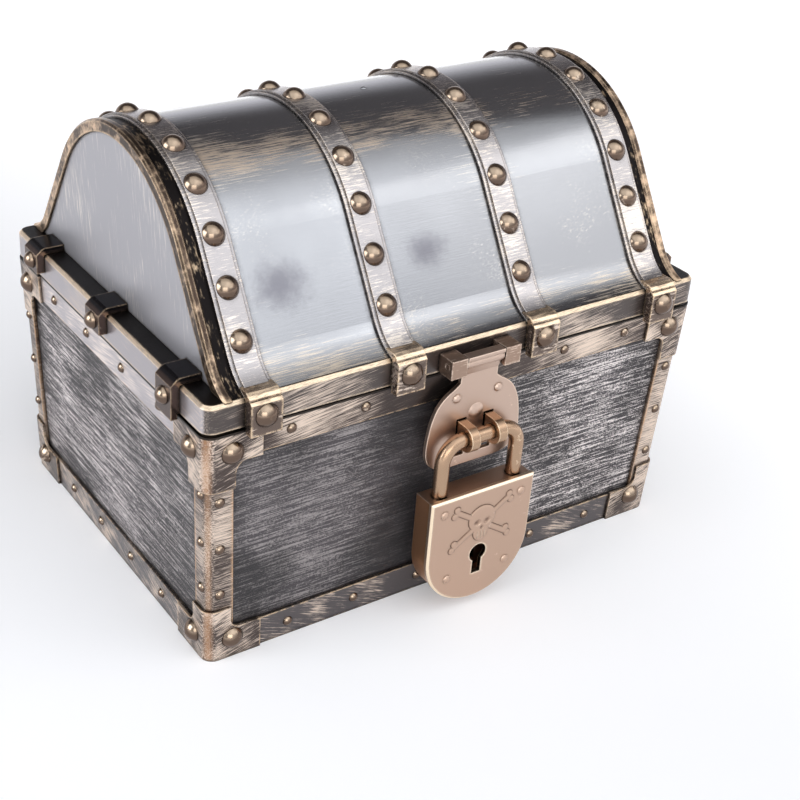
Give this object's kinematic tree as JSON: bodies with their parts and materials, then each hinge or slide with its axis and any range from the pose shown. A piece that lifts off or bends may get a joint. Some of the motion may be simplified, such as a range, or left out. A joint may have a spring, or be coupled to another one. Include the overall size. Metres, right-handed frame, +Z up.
{
  "type": "treasure chest box",
  "caption": "Tapered wooden keepsake chest with a hinged barrel lid, riveted straps and bands, a hasp and a hanging padlock.",
  "frame": {"origin": "centre of the underside of the box", "axes": "+X along the length to the right as seen from the front, -Y out of the front face with the hasp and padlock, +Z up"},
  "size_m": [0.2218, 0.1767, 0.1742],
  "materials": {
    "box_wood": "dark stained boards with fine pale grain streaks, satin",
    "strap_bronze": "dark bronze with copper worn edges, satin",
    "rim_bronze": "bronze lacquered moulding, satin with worn edges",
    "lid_lacquer": "thin moulded shell, glossy dark bronze with fine brushed scratches",
    "edge_copper": "copper bronze, glossy",
    "band_bronze": "dark bronze, semi-gloss",
    "rivet_bronze": "domed, polished dark bronze",
    "bracket_copper": "copper bronze, worn bright on the edges",
    "hasp_bronze": "satin copper bronze",
    "hinge_bronze": "satin bronze",
    "lock_bronze": "satin copper bronze with dark recesses",
    "latch_steel": "plain"
  },
  "bodies": {
    "chest_body": {"floor_panel": "box_wood", "front_panel": "box_wood", "rear_panel": "box_wood", "left_end_panel": "box_wood", "right_end_panel": "box_wood", "front_top_strap": "strap_bronze", "rear_top_strap": "strap_bronze", "left_top_strap": "strap_bronze", "right_top_strap": "strap_bronze", "front_base_strap": "strap_bronze", "rear_base_strap": "strap_bronze", "left_base_strap": "strap_bronze", "right_base_strap": "strap_bronze", "front_left_corner_angle": "strap_bronze", "front_right_corner_angle": "strap_bronze", "rear_left_corner_angle": "strap_bronze", "rear_right_corner_angle": "strap_bronze", "front_left_base_plate": "strap_bronze", "front_right_base_plate": "strap_bronze", "rear_left_base_plate": "strap_bronze", "rear_right_base_plate": "strap_bronze", "front_left_top_plate": "strap_bronze", "front_right_top_plate": "strap_bronze", "rear_left_top_plate": "strap_bronze", "rear_right_top_plate": "strap_bronze", "corner_plate_rivets": "rivet_bronze", "staple_plate": "hasp_bronze", "hinge_body_leaves": "hinge_bronze"},
    "lid": {"rim_frame": "rim_bronze", "lid_barrel": "lid_lacquer", "left_end_cap": "lid_lacquer", "right_end_cap": "lid_lacquer", "left_edge_trim": "edge_copper", "right_edge_trim": "edge_copper", "outer_left_band": "band_bronze", "inner_left_band": "band_bronze", "inner_right_band": "band_bronze", "outer_right_band": "band_bronze", "band_rivets": "rivet_bronze", "front_rim_brackets": "bracket_copper", "rear_rim_brackets": "bracket_copper", "left_rim_brackets": "bracket_copper", "right_rim_brackets": "bracket_copper", "bracket_rivets": "rivet_bronze", "hasp_mount": "hasp_bronze", "hasp_pin": "hasp_bronze", "hinge_lid_leaves": "hinge_bronze", "hinge_pins": "hinge_bronze"},
    "hasp": {"hasp_plate": "hasp_bronze", "hasp_rivets": "rivet_bronze", "staple_rings": "hasp_bronze"},
    "shackle": {"shackle": "lock_bronze"},
    "lock": {"lock_case": "lock_bronze", "lock_front_plate": "lock_bronze", "lock_plate_rivets": "lock_bronze"},
    "latch": {"latch_bolt": "latch_steel", "latch_spring": "latch_steel"}
  },
  "joints": [
    {"name": "lid_hinge", "type": "hinge", "parent": "chest_body", "child": "lid", "pos_m": [0, 0.0795, 0.09467], "axis": [-1, 0, 0], "range_deg": [0, 100]},
    {"name": "hasp_hinge", "type": "hinge", "parent": "lid", "child": "hasp", "pos_m": [0, -0.0821, 0.0996], "axis": [-1, 0, 0], "range_deg": [0, 110]},
    {"name": "padlock_swing", "type": "hinge", "parent": "hasp", "child": "shackle", "pos_m": [0, -0.0864, 0.0712], "axis": [-1, 0, 0], "range_deg": [-3, 100]},
    {"name": "lock_release", "type": "slide", "parent": "shackle", "child": "lock", "axis": [0, 0, -1], "range_m": [0, 0.0032]},
    {"name": "latch_slide", "type": "slide", "parent": "lock", "child": "latch", "axis": [1, 0, 0], "range_m": [0, 0.0024]}
  ],
  "couplings": [
    {"joint": "latch_slide", "follows": "lock_release", "ratio": 0.75}
  ]
}
